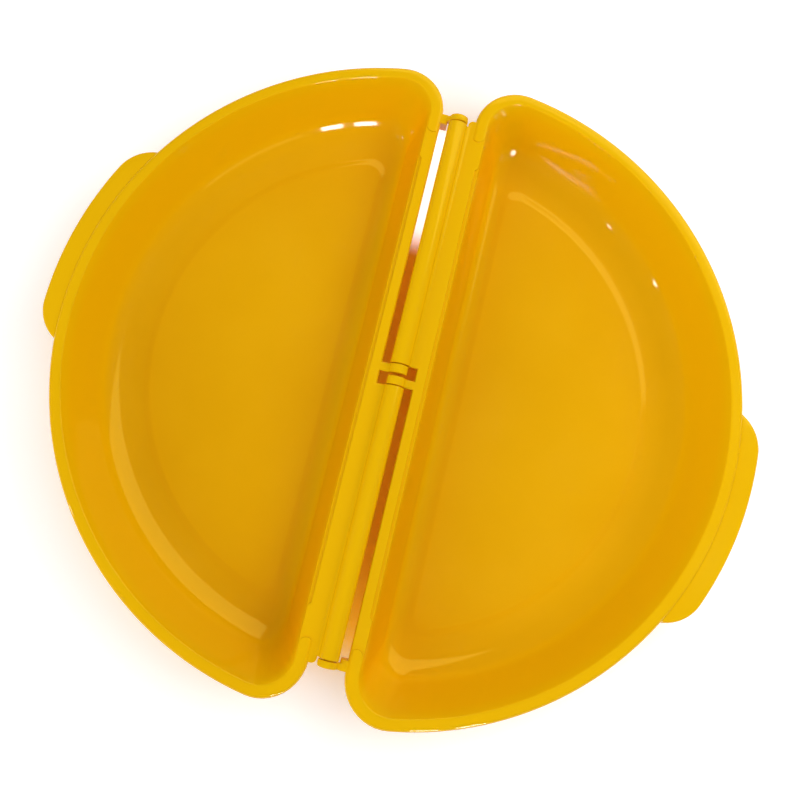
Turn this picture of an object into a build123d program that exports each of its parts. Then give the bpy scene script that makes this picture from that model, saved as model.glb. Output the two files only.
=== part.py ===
from build123d import *
import os
from math import acos, asin, atan2, cos, pi, radians, sin, sqrt, tan

# A folding microwave omelette maker, open flat: two half-moon trays joined by a snap-together hinge.
# Both trays are the same moulding, and one is the other turned half a turn about the vertical.
# Millimetres. The hinge runs along Y, the right tray lies towards +X and Z is up.
# The origin is on the table under the middle of the hinge.

# Outline of the rim, seen from above
RIM_RADIUS = 107.45
ARC_CENTRE_OFFSET = 5.3
HINGE_TO_RIM = 5.8
CORNER_RADIUS = 14.4

# Rim
RIM_WIDTH = 3.95
RIM_HEIGHT = 3.2
RIM_OUTER_ROUND = 1.4
RIM_INNER_ROUND = 0.7
RIM_BELOW_AXIS = 0.15

# Lower band that takes the place of the rim's bead along the hinge
BAND_WIDTH = 3.5
BAND_DROP = 0.4
BEAD_END = 85.2

# Bowl
BOWL_DEPTH = 22.0
WALL = 2.0
ARC_WALL_LEAN = 27.5
ARC_FLOOR_FILLET = 14.0
TOP_CORNER_RADIUS = 10.7
STRAIGHT_WALL_LEAN = 17.0
STRAIGHT_FLOOR_FILLET = 4.0
STRAIGHT_WALL_SETBACK = 0.8
FLOOR_CORNER_RADIUS = 5.0

# Shallow step just inside the straight part of the rim
LEDGE_DEPTH = 1.3
LEDGE_HALF_LENGTH = 75.0
LEDGE_TAPER = 2.4

# Raised panel in the floor, and the hollow under it
PANEL_RISE = 0.5
PANEL_MARGIN = 0.9
PANEL_RAMP = 2.5
FOOT_WIDTH = 5.5

# Grip tab
TAB_REACH = 6.3
TAB_CORNER = 14.0
TAB_MIDDLE_ANGLE = -11.75
TAB_HALF_ANGLE = 13.05
TAB_THICKNESS = 2.0
TAB_DROP = 1.0
TAB_ROOT = 1.5
TAB_EDGE_ROUND = 0.8

# Hinge
HINGE_HALF_LENGTH = 92.4
HINGE_MIDDLE_GAP = 1.1
BARREL_RADIUS = 3.2
BARREL_END_GAP = 0.35
BARREL_END_ROUND = 0.3
FLANGE_THICKNESS = 2.3
FLANGE_NUB = 2.0
FLANGE_NUB_ROUND = 1.6
ROOT_COVER = 3.0
INNER_ARM_WIDTH = 2.85
INNER_ARM_RADIUS = 3.0
CAP_THICKNESS = 2.2
CAP_ROUND = 0.6
GUSSET_EXTRA = 1.2
GUSSET_DEPTH = 6.1
GUSSET_ROUND = 0.8
ARM_BLEND = 0.8
ARM_EDGE_ROUND = 0.25
SIDE_GAP = 0.4
PEG_RADIUS = 1.5
PEG_LENGTH = 2.6
PEG_CHAMFER = 0.4
PEG_CLEARANCE = 0.08
SOCKET_END_GAP = 0.5

# Worked out from the sizes above
AXIS_HEIGHT = BOWL_DEPTH + WALL + RIM_BELOW_AXIS
RIM_TOP = AXIS_HEIGHT - RIM_BELOW_AXIS
INNER_ARM_START = HINGE_MIDDLE_GAP / 2
INNER_ARM_END = INNER_ARM_START + INNER_ARM_WIDTH
CAP_START = HINGE_HALF_LENGTH - CAP_THICKNESS
BARREL_START = INNER_ARM_END + BARREL_END_GAP
BARREL_END = CAP_START - BARREL_END_GAP
BAND_TOP = RIM_TOP - BAND_DROP
BAND_INNER = HINGE_TO_RIM + BAND_WIDTH


def corner_centre(gap, radius, corner):
    """Centre of the rounded corner of a half-moon outline, on its positive Y side."""
    centre_x = gap + corner
    centre_y = sqrt((radius - corner) ** 2 - (centre_x - ARC_CENTRE_OFFSET) ** 2)
    return centre_x, centre_y


def rim_side(place):
    """Distance from the hinge axis to the rim's outer edge, at a place along the hinge."""
    centre_x, centre_y = corner_centre(HINGE_TO_RIM, RIM_RADIUS, CORNER_RADIUS)
    past_straight = max(abs(place) - centre_y, 0)
    return centre_x - sqrt(CORNER_RADIUS ** 2 - past_straight ** 2)


def half_moon(gap, radius, corner, height):
    """Half-moon wire: a straight edge beside the hinge, a large arc and two rounded corners."""
    centre_x, centre_y = corner_centre(gap, radius, corner)
    meet = atan2(centre_y, centre_x - ARC_CENTRE_OFFSET)
    half = (meet + pi) / 2

    def on_arc(angle):
        return (ARC_CENTRE_OFFSET + radius * cos(angle), radius * sin(angle), height)

    def on_corner(angle, side):
        x = centre_x + corner * cos(angle)
        y = side * (centre_y + corner * sin(angle))
        return (x, y, height)

    arc = Edge.make_three_point_arc(on_arc(-meet), on_arc(0), on_arc(meet))
    top = Edge.make_three_point_arc(on_corner(meet, 1), on_corner(half, 1), on_corner(pi, 1))
    straight = Edge.make_line(on_corner(pi, 1), on_corner(pi, -1))
    bottom = Edge.make_three_point_arc(on_corner(pi, -1), on_corner(half, -1), on_corner(meet, -1))
    return Wire([arc, top, straight, bottom])


def wall_run(depth, lean, fillet, floor_depth):
    """Sideways run of a leaning wall that rounds into a flat floor, at a depth below the rim."""
    tangent = fillet * tan(radians(90 - lean) / 2)
    round_start = floor_depth - tangent * cos(radians(lean))
    if depth <= round_start:
        return depth * tan(radians(lean))
    rise = floor_depth - depth
    flat_start = floor_depth * tan(radians(lean)) + tangent
    return flat_start - sqrt(max(fillet ** 2 - (fillet - rise) ** 2, 0))


def section_depths(lean, fillet, floor_depth):
    """Depths of the bowl's sections: a few down the wall, then evenly round the floor fillet."""
    tangent = fillet * tan(radians(90 - lean) / 2)
    round_start = floor_depth - tangent * cos(radians(lean))
    wall_steps = 4
    round_steps = 9
    depths = [round_start * i / wall_steps for i in range(wall_steps)]
    for i in range(round_steps + 1):
        turn = radians(90 - lean) * (1 - i / round_steps)
        depths.append(floor_depth - fillet * (1 - cos(turn)))
    return depths


def bowl(offset):
    """Solid that fills the bowl. An offset of the wall thickness gives the bowl's outside."""
    floor_depth = BOWL_DEPTH + offset
    arc_fillet = ARC_FLOOR_FILLET + offset
    straight_fillet = STRAIGHT_FLOOR_FILLET + offset
    radius = RIM_RADIUS - RIM_WIDTH + offset / cos(radians(ARC_WALL_LEAN))
    gap = BAND_INNER + STRAIGHT_WALL_SETBACK - offset / cos(radians(STRAIGHT_WALL_LEAN))
    full_run = wall_run(floor_depth, ARC_WALL_LEAN, arc_fillet, floor_depth)
    wires = []
    for depth in section_depths(ARC_WALL_LEAN, arc_fillet, floor_depth):
        arc_run = wall_run(depth, ARC_WALL_LEAN, arc_fillet, floor_depth)
        straight_run = wall_run(depth, STRAIGHT_WALL_LEAN, straight_fillet, floor_depth)
        shrink = (TOP_CORNER_RADIUS - FLOOR_CORNER_RADIUS) * arc_run / full_run
        corner = TOP_CORNER_RADIUS - shrink + offset
        wires.append(half_moon(gap + straight_run, radius - arc_run, corner, RIM_TOP - depth))
    return Solid.make_loft(wires)


def prism(wire, thickness):
    """Straight prism that rises from a flat wire."""
    return extrude(Face(wire), thickness, dir=(0, 0, 1))


def box_between(low, high):
    """Box between two opposite corners."""
    size = [b - a for a, b in zip(low, high)]
    middle = [(a + b) / 2 for a, b in zip(low, high)]
    return Pos(*middle) * Box(*size)


def hinge_cylinder(radius, start, end):
    """Cylinder on the hinge axis between two places along it."""
    middle = (0, (start + end) / 2, AXIS_HEIGHT)
    return Pos(*middle) * Rot(90, 0, 0) * Cylinder(radius, end - start)


def rim_block():
    """Solid half-moon slab as thick as the rim, with its outer top edge rounded."""
    slab = prism(half_moon(HINGE_TO_RIM, RIM_RADIUS, CORNER_RADIUS, RIM_TOP - RIM_HEIGHT), RIM_HEIGHT)
    top = slab.faces().sort_by(Axis.Z)[-1]
    return fillet(top.edges(), RIM_OUTER_ROUND)


def grip_tab():
    """Flat grip tab on the arc of the rim, with large rounded corners."""
    reach = RIM_RADIUS + TAB_REACH
    root = RIM_RADIUS - TAB_ROOT
    base = RIM_TOP - TAB_DROP - TAB_THICKNESS
    corner_radius = reach - TAB_CORNER
    cosine = (root ** 2 - corner_radius ** 2 - TAB_CORNER ** 2) / (2 * corner_radius * TAB_CORNER)
    turn = acos(cosine)

    def polar(radius, angle):
        return (ARC_CENTRE_OFFSET + radius * cos(angle), radius * sin(angle), base)

    def on_corner(angle, extra):
        x, y, z = polar(corner_radius, angle)
        return (x + TAB_CORNER * cos(angle + extra), y + TAB_CORNER * sin(angle + extra), z)

    middle = radians(TAB_MIDDLE_ANGLE)
    low = middle - radians(TAB_HALF_ANGLE)
    high = middle + radians(TAB_HALF_ANGLE)
    outer = Edge.make_three_point_arc(polar(reach, low), polar(reach, middle), polar(reach, high))
    upper = Edge.make_three_point_arc(
        polar(reach, high), on_corner(high, turn / 2), on_corner(high, turn))
    inner = Edge.make_three_point_arc(on_corner(high, turn), polar(root, middle), on_corner(low, -turn))
    lower = Edge.make_three_point_arc(
        on_corner(low, -turn), on_corner(low, -turn / 2), polar(reach, low))
    plate = prism(Wire([outer, upper, inner, lower]), TAB_THICKNESS)
    arc_centre = Vector(ARC_CENTRE_OFFSET, 0, base)
    flat_edges = plate.edges().filter_by(Plane.XY)
    free = flat_edges.filter_by(lambda edge: (edge.position_at(0.5) - arc_centre).length > RIM_RADIUS)
    return fillet(free, TAB_EDGE_ROUND)


def floor_outline(inset, height):
    """Half-moon wire drawn in from the edge of the flat floor by an inset."""
    floor_run = wall_run(BOWL_DEPTH, ARC_WALL_LEAN, ARC_FLOOR_FILLET, BOWL_DEPTH)
    straight_run = wall_run(BOWL_DEPTH, STRAIGHT_WALL_LEAN, STRAIGHT_FLOOR_FILLET, BOWL_DEPTH)
    gap = BAND_INNER + STRAIGHT_WALL_SETBACK + straight_run + inset
    radius = RIM_RADIUS - RIM_WIDTH - floor_run - inset
    return half_moon(gap, radius, FLOOR_CORNER_RADIUS, height)


def floor_panel():
    """Raised panel of the floor with a gentle ramp all round. It starts inside the floor's wall."""
    low = floor_outline(PANEL_MARGIN, WALL)
    high = floor_outline(PANEL_MARGIN + PANEL_RAMP, WALL + PANEL_RISE)
    root = floor_outline(PANEL_MARGIN, WALL / 2)
    return Solid.make_loft([low, high], ruled=True) + Solid.make_loft([root, low], ruled=True)


def underside_hollow():
    """Hollow under the raised panel, which leaves a flat foot round the tray's base."""
    mouth = floor_outline(FOOT_WIDTH - PANEL_RISE, -PANEL_RISE / 2)
    roof = floor_outline(FOOT_WIDTH + PANEL_RISE, PANEL_RISE)
    return Solid.make_loft([mouth, roof], ruled=True)


def ledge_recess():
    """Space over the shallow step that runs inside the straight part of the rim."""
    inner = BAND_INNER
    level = RIM_TOP - LEDGE_DEPTH
    outline = Wire.make_polygon(
        [
            (inner, -LEDGE_HALF_LENGTH, level),
            (inner + LEDGE_TAPER, -LEDGE_HALF_LENGTH - LEDGE_TAPER, level),
            (inner + LEDGE_TAPER, LEDGE_HALF_LENGTH + LEDGE_TAPER, level),
            (inner, LEDGE_HALF_LENGTH, level),
        ],
        close=True,
    )
    return prism(outline, LEDGE_DEPTH + RIM_HEIGHT)


def band_recess():
    """Space over the lower band. Its ends go round the rounded ends of the rim's bead."""
    half = (BAND_WIDTH + STRAIGHT_WALL_SETBACK) / 2
    middle = HINGE_TO_RIM + half
    reach = BEAD_END + half
    space = box_between((0, -reach, BAND_TOP), (middle + CORNER_RADIUS / 2, reach, RIM_TOP + RIM_HEIGHT))
    for side in (-1, 1):
        space = space - Pos(middle, side * reach, RIM_TOP) * Cylinder(half, 4 * RIM_HEIGHT)
    return space


def link(start, end, radius, start_round, end_round):
    """Plate from the band to a round edge on the hinge axis, with a blend on top and rounded sides."""
    top = BAND_TOP - AXIS_HEIGHT
    base = top - FLANGE_THICKNESS
    root = rim_side(start) + ROOT_COVER
    reach = radius + ARM_BLEND
    blend_x = sqrt(reach ** 2 - (top + ARM_BLEND) ** 2)
    blend_end = atan2(top + ARM_BLEND, blend_x)
    base_angle = asin(base / radius)
    round_middle = (blend_end + base_angle + 2 * pi) / 2

    def at(x, z):
        return (x, start, AXIS_HEIGHT + z)

    def on_blend(angle):
        return at(blend_x + ARM_BLEND * cos(angle), top + ARM_BLEND + ARM_BLEND * sin(angle))

    def on_disc(angle):
        return at(radius * cos(angle), radius * sin(angle))

    blend_from = -pi / 2
    blend_to = blend_end - pi
    blend_middle = (blend_from + blend_to) / 2
    outline = Wire(
        [
            Edge.make_line(at(root, top), at(blend_x, top)),
            Edge.make_three_point_arc(at(blend_x, top), on_blend(blend_middle), on_disc(blend_end)),
            Edge.make_three_point_arc(on_disc(blend_end), on_disc(round_middle), on_disc(base_angle)),
            Edge.make_line(on_disc(base_angle), at(root, base)),
            Edge.make_line(at(root, base), at(root, top)),
        ]
    )
    body = extrude(Face(outline), end - start, dir=(0, 1, 0))
    for level, side_round in ((0, start_round), (-1, end_round)):
        side_edges = body.edges().filter_by(Plane.XZ).group_by(Axis.Y)[level]
        free = side_edges.filter_by(lambda edge: edge.center().X < root - side_round)
        body = fillet(free, side_round)
    return body


def peg(face, direction):
    """Snap peg on the hinge axis that stands out from an arm's face."""
    length = BARREL_END_GAP + PEG_LENGTH
    tip = face + direction * length
    shaft = hinge_cylinder(PEG_RADIUS, min(face, tip), max(face, tip))
    end_circle = shaft.edges().filter_by(GeomType.CIRCLE).sort_by_distance((0, tip, AXIS_HEIGHT))[0]
    return chamfer(end_circle, PEG_CHAMFER)


def flange_nub():
    """Rounded nub at the outer end of the flange, beside the other tray's cap."""
    nub_end = CAP_START + FLANGE_NUB
    low = (BARREL_RADIUS + SIDE_GAP, BARREL_END - FLANGE_NUB, BAND_TOP - FLANGE_THICKNESS)
    plate = box_between(low, (rim_side(nub_end) + ROOT_COVER, nub_end, BAND_TOP))
    corner = plate.edges().filter_by(Axis.Z).sort_by_distance((low[0], nub_end, BAND_TOP))[0]
    return fillet(corner, FLANGE_NUB_ROUND)


def barrel():
    """Hinge barrel with its flange."""
    round_part = link(BARREL_START, BARREL_END, BARREL_RADIUS, BARREL_END_ROUND, BARREL_END_ROUND)
    return round_part + flange_nub()


def sockets():
    """Holes in the ends of the barrel that take the other tray's pegs."""
    radius = PEG_RADIUS + PEG_CLEARANCE
    depth = PEG_LENGTH + SOCKET_END_GAP
    inner = hinge_cylinder(radius, BARREL_START - depth, BARREL_START + depth)
    outer = hinge_cylinder(radius, BARREL_END - depth, BARREL_END + depth)
    return inner + outer


def gusset():
    """Rib under the outer arm that runs down the bowl's wall. It is a little wider than the arm."""
    side = BARREL_RADIUS + SIDE_GAP
    root = rim_side(HINGE_HALF_LENGTH) + ROOT_COVER
    base = BAND_TOP - GUSSET_DEPTH
    foot = root + GUSSET_DEPTH * tan(radians(STRAIGHT_WALL_LEAN))
    start = -HINGE_HALF_LENGTH
    outline = Wire.make_polygon(
        [(side, start, BAND_TOP), (root, start, BAND_TOP), (foot, start, base), (side, start, base)],
        close=True,
    )
    rib = extrude(Face(outline), CAP_THICKNESS + GUSSET_EXTRA, dir=(0, 1, 0))
    top_edge = rib.edges().filter_by(Axis.X).sort_by_distance((side, GUSSET_EXTRA - CAP_START, BAND_TOP))[0]
    return fillet(top_edge, GUSSET_ROUND)


def arms():
    """The inner and the outer arm, each with its peg, on the half of the hinge beyond the middle."""
    inner = link(-INNER_ARM_END, -INNER_ARM_START, INNER_ARM_RADIUS, ARM_EDGE_ROUND, ARM_EDGE_ROUND)
    outer = link(-HINGE_HALF_LENGTH, -CAP_START, BARREL_RADIUS, CAP_ROUND, ARM_EDGE_ROUND)
    return inner + outer + gusset() + peg(-INNER_ARM_END, -1) + peg(-CAP_START, 1)


def tray():
    """One whole tray, in the place of the right one."""
    shell = rim_block() + bowl(WALL) + grip_tab() - bowl(0) - ledge_recess()
    top = shell.faces().filter_by(Plane.XY).sort_by(Axis.Z)[-1]
    shell = fillet(top.inner_wires()[0].edges(), RIM_INNER_ROUND)
    shell = shell - band_recess() + floor_panel() - underside_hollow()
    return shell + barrel() + arms() - sockets()


right_tray = tray()
left_tray = Rot(0, 0, 180) * right_tray

os.makedirs("parts", exist_ok=True)
export_step(right_tray, "parts/right_tray.step")
export_step(left_tray, "parts/left_tray.step")
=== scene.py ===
# %% [markdown]
# # A folding microwave omelette maker
# The real object is one glossy yellow plastic moulding, made twice. Two half-moon trays lie open on a
# table, and a snap hinge runs between their straight sides. This notebook makes the two trays with
# Geometry Nodes, gives them their plastic, and sets the light and the camera of the photograph.
# Everything is in metres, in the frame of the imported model, which is loaded first.

# %% Load the frame
from math import acos, asin, atan2, cos, pi, radians, sin, sqrt, tan
from types import SimpleNamespace

import bmesh
import bpy
from mathutils import Matrix, Vector


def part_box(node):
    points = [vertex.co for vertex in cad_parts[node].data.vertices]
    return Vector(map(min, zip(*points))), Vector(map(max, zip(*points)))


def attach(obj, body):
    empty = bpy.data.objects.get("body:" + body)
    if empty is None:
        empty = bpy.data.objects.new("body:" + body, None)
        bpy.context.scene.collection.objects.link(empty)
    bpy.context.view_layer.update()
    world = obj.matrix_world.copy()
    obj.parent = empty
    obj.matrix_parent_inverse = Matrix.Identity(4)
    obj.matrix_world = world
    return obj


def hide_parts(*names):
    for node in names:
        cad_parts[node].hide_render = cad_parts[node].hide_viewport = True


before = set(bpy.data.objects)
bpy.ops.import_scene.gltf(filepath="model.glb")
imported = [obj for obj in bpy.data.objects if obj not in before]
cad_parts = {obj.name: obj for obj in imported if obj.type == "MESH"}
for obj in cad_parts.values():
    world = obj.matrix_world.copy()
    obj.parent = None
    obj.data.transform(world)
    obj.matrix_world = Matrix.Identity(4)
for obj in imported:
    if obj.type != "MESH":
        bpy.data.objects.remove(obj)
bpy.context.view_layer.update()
for name in sorted(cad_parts):
    low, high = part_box(name)
    print(name, [round(1000 * (b - a), 1) for a, b in zip(low, high)], "mm")

# %% [markdown]
# ## The sizes
# A moulding is described by a few sizes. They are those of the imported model, with three exceptions. The
# ramp of the floor panel is wider, and so softer. The edge under the rim has a small round. The rim's
# radius is a hair smaller, as the last cell explains. The sizes are written in millimetres, because that
# is how a maker measures such a tray, and are turned into metres once.

# %% Sizes of the tray
MM = 0.001
SIZES = {
    "Rim radius": 107.42,
    "Arc centre": 5.3,
    "Hinge to rim": 5.8,
    "Corner radius": 14.4,
    "Rim width": 3.95,
    "Rim height": 3.2,
    "Rim outer round": 1.4,
    "Rim under round": 0.35,
    "Rim inner round": 0.7,
    "Band width": 3.5,
    "Band drop": 0.4,
    "Bead end": 85.2,
    "Bowl depth": 22.0,
    "Wall": 2.0,
    "Arc floor fillet": 14.0,
    "Straight floor fillet": 4.0,
    "Straight setback": 0.8,
    "Top corner": 10.7,
    "Floor corner": 5.0,
    "Ledge depth": 1.3,
    "Ledge half length": 75.0,
    "Ledge taper": 2.4,
    "Panel rise": 0.5,
    "Panel margin": 0.9,
    "Panel ramp": 3.4,
    "Foot width": 5.5,
    "Rim top": 24.0,
}
LEANS = {"Arc lean": 27.5, "Straight lean": 17.0}
print(len(SIZES), "lengths and", len(LEANS), "angles")

# %% [markdown]
# ## Sums written as nodes
# A rule such as "the wall leans inwards and then rounds into the floor" is a short sum. In Geometry Nodes
# each plus and times is a node of its own. Wiring them by hand hides the rule, so this small class lets a
# sum be written as a sum, and it makes the Math nodes.


# %% A class that turns sums into Math nodes
class Term:
    """One number in a node tree. Sums of terms make Math nodes."""

    def __init__(self, tree, socket):
        self.tree = tree
        self.socket = socket

    def maths(self, operation, *others):
        node = self.tree.nodes.new("ShaderNodeMath")
        node.operation = operation
        for place, value in zip(node.inputs, (self, *others)):
            connect(self.tree, value, place)
        return Term(self.tree, node.outputs[0])

    def __add__(self, other):
        return self.maths("ADD", other)

    def __radd__(self, other):
        return self.maths("ADD", other)

    def __sub__(self, other):
        return self.maths("SUBTRACT", other)

    def __rsub__(self, other):
        return self.maths("MULTIPLY", -1.0).maths("ADD", other)

    def __mul__(self, other):
        return self.maths("MULTIPLY", other)

    def __rmul__(self, other):
        return self.maths("MULTIPLY", other)

    def __truediv__(self, other):
        return self.maths("DIVIDE", other)


print("A term knows plus, minus, times and divided by, and any other Math node by name")


# %% Nodes with their inputs filled
def connect(tree, value, place):
    """Links a term or a socket to an input, or writes a plain value in it."""
    if isinstance(value, Term):
        tree.links.new(value.socket, place)
    elif isinstance(value, bpy.types.NodeSocket):
        tree.links.new(value, place)
    else:
        place.default_value = value


def fill(tree, node, **values):
    """Fills a node's inputs by name, with underscores for spaces, and returns the node."""
    for label, value in values.items():
        connect(tree, value, node.inputs[label.replace("_", " ")])
    return node


def add(tree, kind, **values):
    """Adds a node to a tree and fills its inputs."""
    return fill(tree, tree.nodes.new(kind), **values)


def vector(tree, x, y, z):
    """One vector from three terms or numbers."""
    return add(tree, "ShaderNodeCombineXYZ", X=x, Y=y, Z=z).outputs[0]


def split(tree, place):
    """The X, Y and Z of a vector, as terms."""
    return [Term(tree, socket) for socket in add(tree, "ShaderNodeSeparateXYZ", Vector=place).outputs]


print("nodes are added by kind, with their inputs by name")


# %% Groups with named sockets
def numbers(*labels):
    """Sockets of a new group that hold plain numbers."""
    return [(label, "Float") for label in labels]


def new_group(name, inputs, outputs):
    """A node group. Returns its tree, its inputs as terms by name, and its output node."""
    tree = bpy.data.node_groups.new(name, "GeometryNodeTree")
    for way, sockets in (("INPUT", inputs), ("OUTPUT", outputs)):
        for label, kind in sockets:
            tree.interface.new_socket(label, in_out=way, socket_type="NodeSocket" + kind)
    start = tree.nodes.new("NodeGroupInput")
    terms = {label.lower().replace(" ", "_"): Term(tree, start.outputs[label]) for label, kind in inputs}
    return tree, SimpleNamespace(**terms), tree.nodes.new("NodeGroupOutput")


def use_group(tree, group, **values):
    """Adds a group to a tree and fills its inputs."""
    node = tree.nodes.new("GeometryNodeGroup")
    node.node_tree = group
    return fill(tree, node, **values)


print("a group's inputs are read as group.name")

# %% [markdown]
# ## How far the wall has come in
# From the rim down, the wall first rolls over a small round edge, then leans inwards in a straight line,
# then turns into the flat floor on a fillet. Each of the three is clamped to its own stretch, so that
# their sum is the whole profile. The arc side and the straight side use the same group with other angles.


# %% Group: run of the wall at a depth
def other_side(longest, side):
    """The third side of a right-angled triangle, or 0 where there is none."""
    return (longest * longest - side * side).maths("MAXIMUM", 0.0).maths("SQRT")


wall_group, wall, wall_out = new_group(
    "Wall run",
    numbers("Depth", "Lean", "Fillet", "Floor", "Edge round"),
    [("Run", "Float")],
)
turn = pi / 2 - wall.lean
slope = wall.lean.maths("TANGENT")
tangent = wall.fillet * (turn / 2).maths("TANGENT")
round_start = wall.floor - tangent * wall.lean.maths("COSINE")
line = wall.depth.maths("MINIMUM", round_start) * slope
rise = (wall.floor - wall.depth.maths("MAXIMUM", round_start)).maths("MAXIMUM", 0.0)
across = other_side(wall.fillet, wall.fillet - rise)
flat_start = wall.floor * slope + tangent
bend = flat_start - across - round_start * slope
edge_depth = wall.edge_round * (1.0 - turn.maths("COSINE"))
edge_at = wall.depth.maths("MINIMUM", edge_depth).maths("MAXIMUM", 0.0)
edge_across = other_side(wall.edge_round, wall.edge_round - edge_at)
edge_roll = edge_at * slope + wall.edge_round * (turn / 2).maths("TANGENT") - edge_across
fill(wall_group, wall_out, Run=line + bend - edge_roll)
print("Wall run:", len(wall_group.nodes), "nodes")


# %% The wall's run as one call
def wall_run(tree, depth, lean, fillet, floor, edge_round=0.0):
    """How far the wall has come in at a depth."""
    node = use_group(tree, wall_group, Depth=depth, Lean=lean, Fillet=fillet, Floor=floor,
                     Edge_round=edge_round)
    return Term(tree, node.outputs[0])


print("the wall's run needs", len(wall_group.interface.items_tree) - 1, "numbers")

# %% [markdown]
# ## The half-moon outline
# Seen from above, every level of the tray is a half-moon: a large arc, two round corners and a straight
# side along the hinge. The outline is mirrored about the X axis, so a point is found on one half and its
# Y is turned over for the other. Three shares, of the arc, the corner and the straight, say how far a
# point has gone, and again the three stretches add up.

# %% Group: a point of the half-moon
moon_group, moon, moon_out = new_group(
    "Half-moon point",
    numbers("Gap", "Radius", "Corner", "Arc centre", "Arc share", "Corner share", "Straight share",
            "Side", "Height"),
    [("Position", "Vector")],
)
corner_x = moon.gap + moon.corner
arm_length = moon.radius - moon.corner
offset_x = corner_x - moon.arc_centre
corner_y = other_side(arm_length, offset_x)
meet = corner_y.maths("ARCTAN2", offset_x)
arc_angle = meet * moon.arc_share
corner_angle = meet + (pi - meet) * moon.corner_share
x = moon.arc_centre + moon.radius * arc_angle.maths("COSINE")
x = x + moon.corner * (corner_angle.maths("COSINE") - meet.maths("COSINE"))
y = moon.radius * arc_angle.maths("SINE")
y = y + moon.corner * (corner_angle.maths("SINE") - meet.maths("SINE"))
y = (y - corner_y * moon.straight_share) * moon.side
fill(moon_group, moon_out, Position=vector(moon_group, x, y, moon.height))
print("Half-moon point:", len(moon_group.nodes), "nodes")

# %% [markdown]
# ## A stack of half-moons
# A solid is a stack of these outlines. A grid gives the points: its rows are the levels and its columns
# go round the outline. The first and last rows shrink to a point, which closes the bottom and the top,
# and merging by distance sews the seam. A stack that rises from its first row comes out inside out, so
# its faces are flipped.

# %% The points of a stack
ARC_COLUMNS = 64
CORNER_COLUMNS = 12
STRAIGHT_COLUMNS = 16
HALF_COLUMNS = ARC_COLUMNS + CORNER_COLUMNS + STRAIGHT_COLUMNS
COLUMNS = 2 * HALF_COLUMNS + 1


def share(term, start, length):
    """How far a term has gone from start over a length, from 0 to 1."""
    part = (term - start) / length
    return part.maths("MAXIMUM", 0.0).maths("MINIMUM", 1.0)


def stack_grid(tree, rows):
    """The grid of a stack, the row number of each point, and its shares round the outline."""
    grid = add(tree, "GeometryNodeMeshGrid", Vertices_X=rows, Vertices_Y=COLUMNS)
    index = Term(tree, tree.nodes.new("GeometryNodeInputIndex").outputs[0])
    row = ((index + 0.5) / COLUMNS).maths("FLOOR")
    column = index - row * COLUMNS
    along = HALF_COLUMNS - (column - HALF_COLUMNS).maths("ABSOLUTE")
    shares = {
        "Arc_share": share(along, 0, ARC_COLUMNS),
        "Corner_share": share(along, ARC_COLUMNS, CORNER_COLUMNS),
        "Straight_share": share(along, ARC_COLUMNS + CORNER_COLUMNS, STRAIGHT_COLUMNS),
        "Side": (HALF_COLUMNS - column).maths("SIGN"),
    }
    return grid.outputs["Mesh"], row, shares


print("an outline has", COLUMNS, "points, of which the first and the last are sewn together")

# %% Closing a stack
STACK_MIDDLE = 0.045
SEAM = 1e-6


def close_stack(tree, grid, row, rows, position, rising):
    """Moves the grid's points to their places, shrinks both end rows to a point and sews the seam."""
    at_end = row.maths("LESS_THAN", 0.5) + row.maths("GREATER_THAN", rows - 1.5)
    keep = 1.0 - at_end
    x, y, z = split(tree, position)
    place = vector(tree, x * keep + STACK_MIDDLE * at_end, y * keep, z)
    placed = add(tree, "GeometryNodeSetPosition", Geometry=grid, Position=place)
    closed = add(tree, "GeometryNodeMergeByDistance", Geometry=placed.outputs[0], Distance=SEAM)
    if rising:
        closed = add(tree, "GeometryNodeFlipFaces", Mesh=closed.outputs[0])
    return closed.outputs[0]


print("a stack closes on a line", STACK_MIDDLE / MM, "mm from the hinge")

# %% [markdown]
# ## The bowl
# The bowl's inside and its outside are the same stack with another offset: nought for the hollow, and the
# wall's thickness for the outside. The hollow is later cut out of the outside, as a moulder's core is
# drawn out of the cavity, and what stays is the wall. The rows are close together on the round edge and
# on the fillet, and far apart on the straight wall, so that no point is wasted.

# %% Group: the bowl as a solid, and how deep each of its rows lies
EDGE_ROWS = 5
WALL_ROWS = 6
FILLET_ROWS = 14
# Two closing points, the lid's edge and the first outline
BOWL_ROWS = EDGE_ROWS + WALL_ROWS + FILLET_ROWS + 4
bowl_group, bowl, bowl_out = new_group(
    "Bowl solid",
    numbers("Gap", "Radius", "Arc centre", "Corner top", "Corner floor", "Arc lean", "Straight lean",
            "Arc fillet", "Straight fillet", "Floor", "Edge round", "Start depth", "Rim top", "Lid"),
    [("Mesh", "Geometry")],
)
grid, row, shares = stack_grid(bowl_group, BOWL_ROWS)
step = row - 2.0
edge_share = share(step, 0, EDGE_ROWS)
wall_share = share(step, EDGE_ROWS, WALL_ROWS)
fillet_share = share(step, EDGE_ROWS + WALL_ROWS, FILLET_ROWS)
turn = pi / 2 - bowl.arc_lean
turn_drop = 1.0 - turn.maths("COSINE")
round_start = bowl.floor - bowl.arc_fillet * turn_drop
depth = bowl.start_depth + bowl.edge_round * (1.0 - (turn * edge_share).maths("COSINE"))
depth = depth + (round_start - bowl.edge_round * turn_drop - bowl.start_depth) * wall_share
depth = depth + bowl.arc_fillet * ((turn * (1.0 - fillet_share)).maths("COSINE") - turn.maths("COSINE"))
print("Bowl solid:", BOWL_ROWS, "rows of", COLUMNS, "points")

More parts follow.
